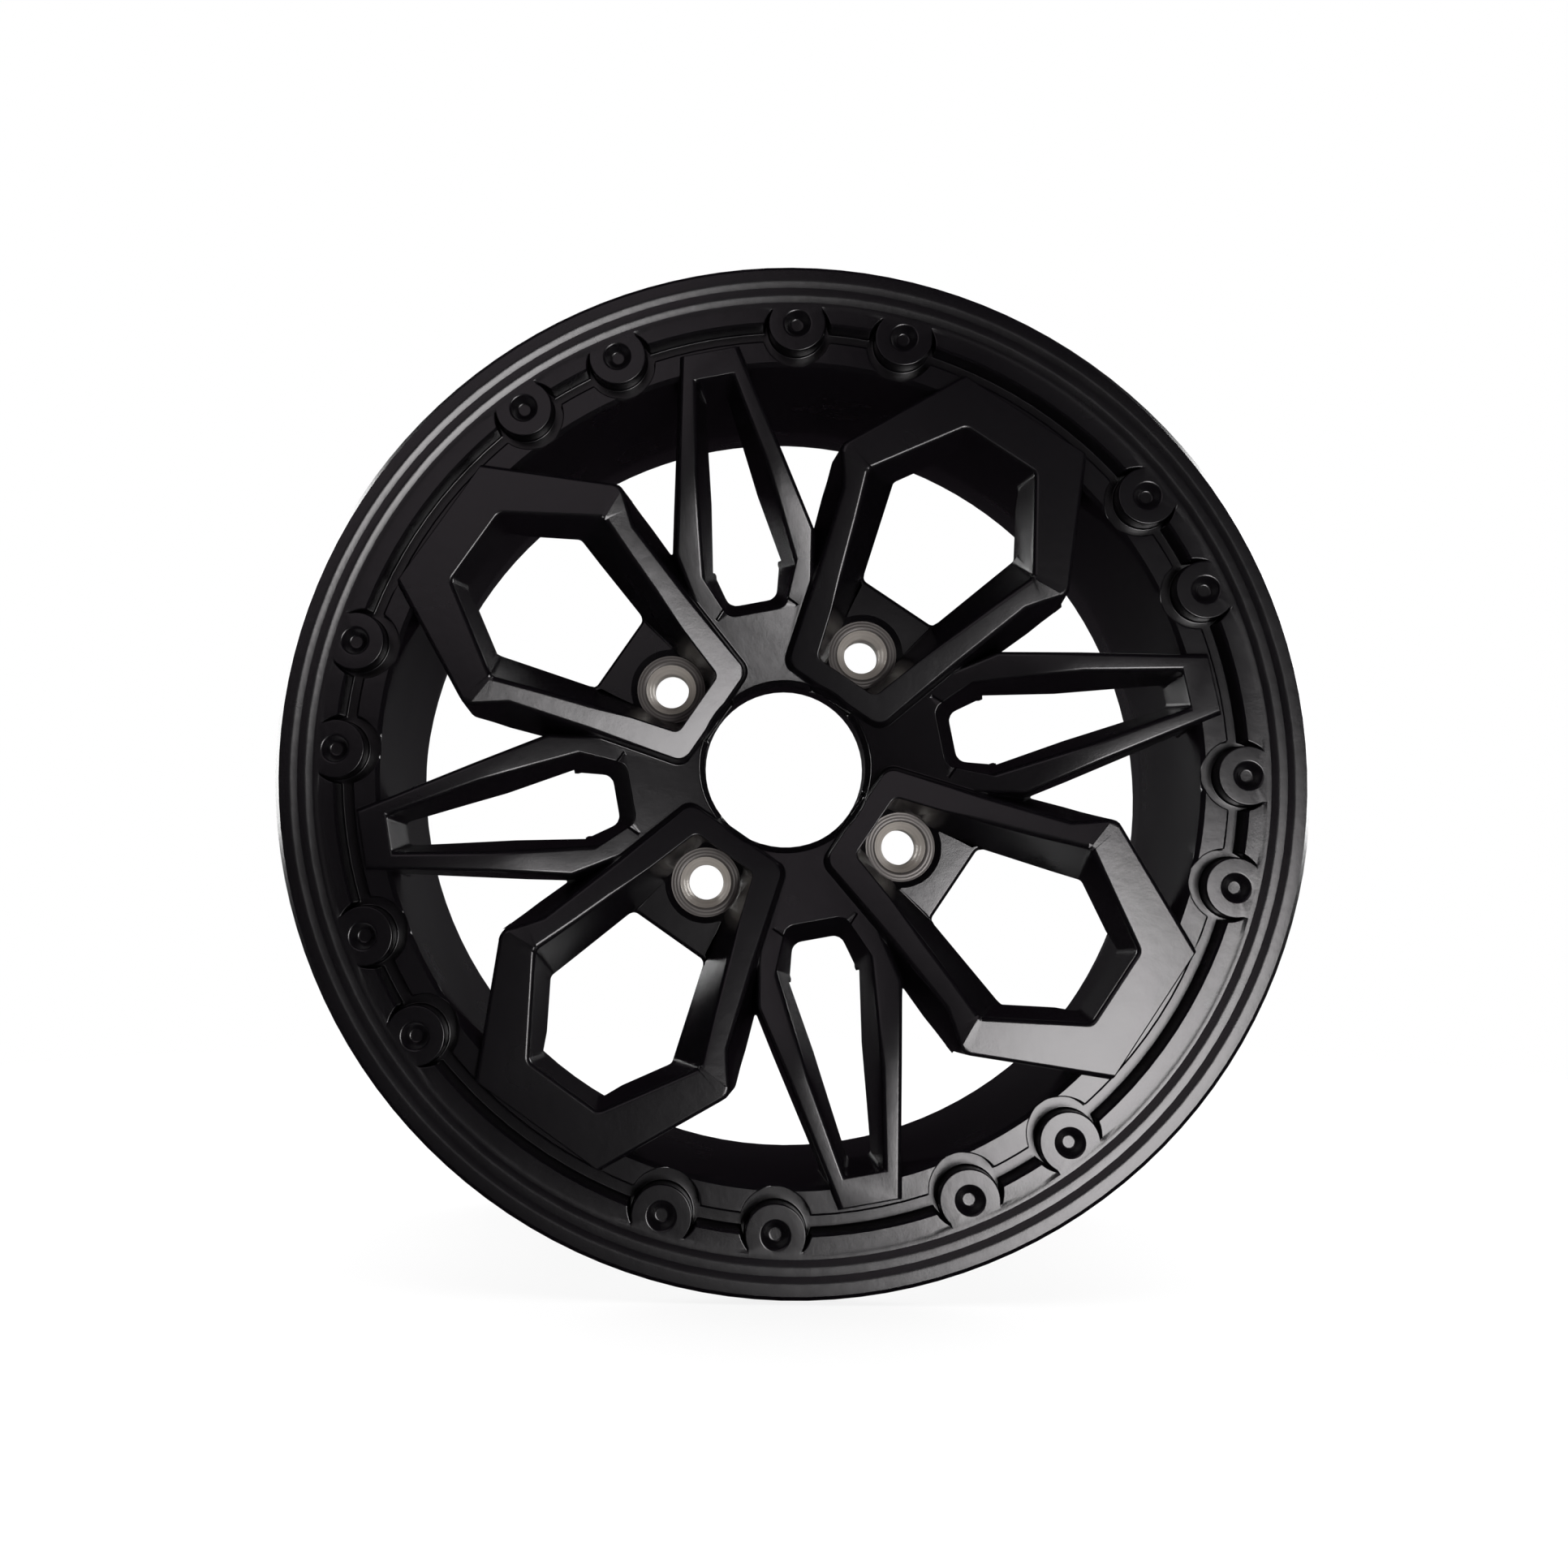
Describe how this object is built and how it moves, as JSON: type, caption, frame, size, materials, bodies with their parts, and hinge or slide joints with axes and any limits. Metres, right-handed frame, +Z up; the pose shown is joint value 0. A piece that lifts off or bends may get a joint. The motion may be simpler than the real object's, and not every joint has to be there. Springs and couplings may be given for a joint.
{
  "type": "utility vehicle wheel",
  "caption": "One-piece cast alloy wheel with a drop-centre rim, hexagonal frames round the lug pads, split spokes and a ring of cast bolt heads.",
  "frame": {"origin": "centre of the wheel: on its axis, midway between the front and rear lips", "axes": "+Y along the wheel's axis from the street side to the vehicle side, so the face looks along -Y; +Z up; +X to the right in a front view"},
  "size_m": [0.391, 0.2, 0.391],
  "materials": {
    "wheel": "satin black paint, with bare aluminium on the lug seats"
  },
  "bodies": {
    "root": {"wheel": "wheel"}
  },
  "joints": []
}
